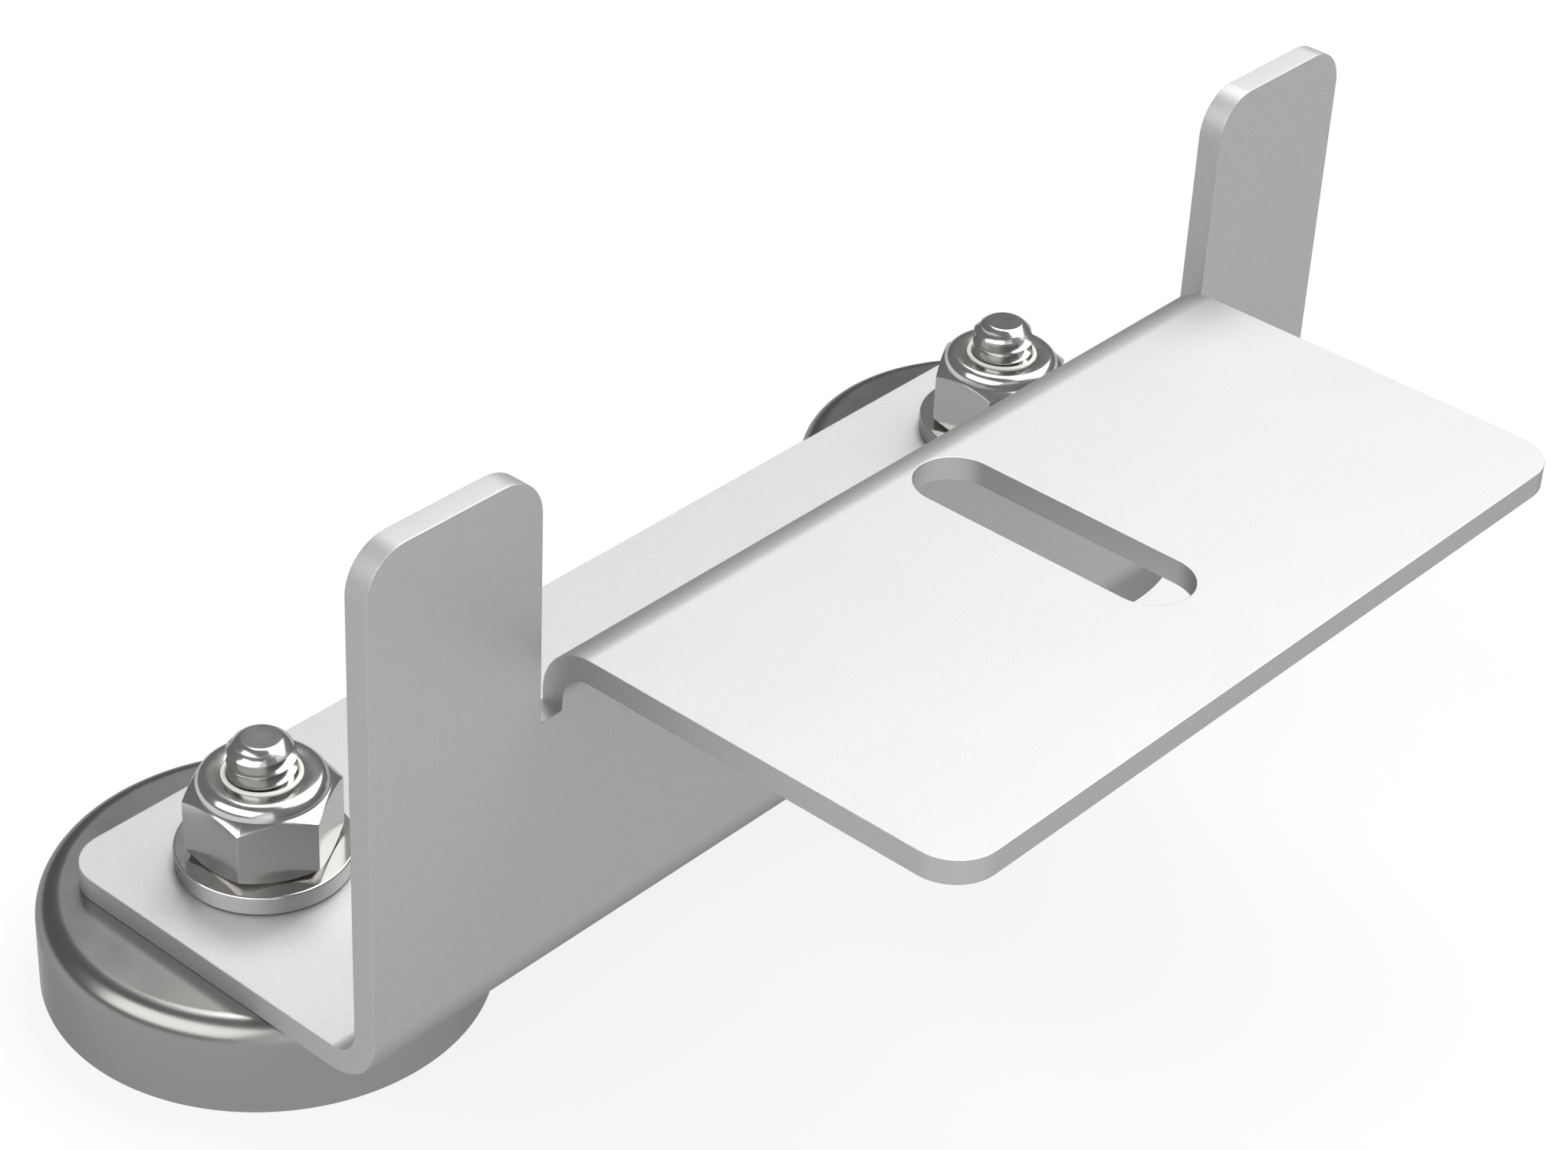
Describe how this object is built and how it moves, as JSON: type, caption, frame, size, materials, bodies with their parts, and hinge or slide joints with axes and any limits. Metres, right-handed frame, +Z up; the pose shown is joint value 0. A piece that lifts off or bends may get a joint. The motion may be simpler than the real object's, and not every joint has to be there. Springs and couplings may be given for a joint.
{
  "type": "magnetic solar panel mount",
  "caption": "Folded sheet-metal bracket with a slotted shelf and upright end tabs, standing on round pot magnets that hold a solar panel's frame to a steel roof.",
  "frame": {"origin": "middle of the footprint, on the surface that the magnets hold to", "axes": "+X along the bracket towards its right-hand magnet, +Z up from the steel surface towards the shelf, and +Y from the shelf towards the back edge of the base"},
  "size_m": [0.1474, 0.0928, 0.0646],
  "materials": {
    "bracket_sheet": "satin bare aluminium sheet",
    "cup_nickel": "polished nickel plate on a drawn steel cup",
    "magnet_plating": "satin nickel plate on the magnet disc",
    "potting_resin": "cast resin",
    "fastener_zinc": "bright zinc plate on steel",
    "nylon_ring": "natural nylon"
  },
  "bodies": {
    "root": {"bracket": "bracket_sheet", "left_magnet_cup": "cup_nickel", "left_magnet_disc": "magnet_plating", "left_potting_ring": "potting_resin", "left_stud": "fastener_zinc", "left_washer": "fastener_zinc", "left_lock_nut": "fastener_zinc", "left_nylon_insert": "nylon_ring", "right_magnet_cup": "cup_nickel", "right_magnet_disc": "magnet_plating", "right_potting_ring": "potting_resin", "right_stud": "fastener_zinc", "right_washer": "fastener_zinc", "right_lock_nut": "fastener_zinc", "right_nylon_insert": "nylon_ring"}
  },
  "joints": []
}
